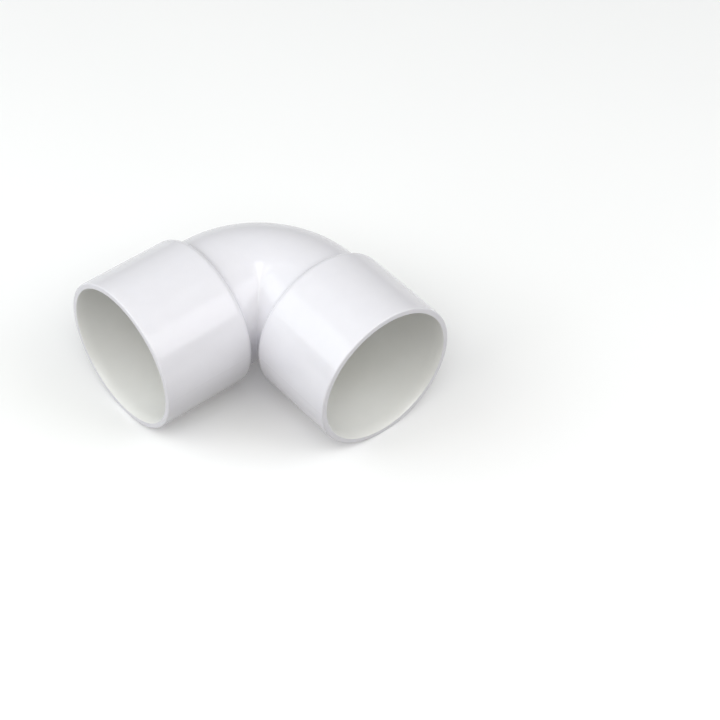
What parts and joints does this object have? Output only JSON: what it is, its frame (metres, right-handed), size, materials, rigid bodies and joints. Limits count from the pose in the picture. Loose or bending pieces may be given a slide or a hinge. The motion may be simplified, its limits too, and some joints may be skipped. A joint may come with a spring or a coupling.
{
  "type": "pipe elbow fitting",
  "caption": "White plastic 90 degree pipe elbow with two plain solvent-weld sockets joined by a short, tight bend.",
  "frame": {"origin": "centre of the inlet's pipe stop, on the inlet's axis", "axes": "+Y out of the inlet's mouth, +X out of the outlet's mouth, +Z square to both, up when the elbow lies on its side"},
  "size_m": [0.0788, 0.0788, 0.0476],
  "materials": {
    "white_pvc": "glossy as moulded"
  },
  "bodies": {
    "root": {"inlet_socket": "white_pvc", "bend": "white_pvc", "outlet_socket": "white_pvc"}
  },
  "joints": []
}
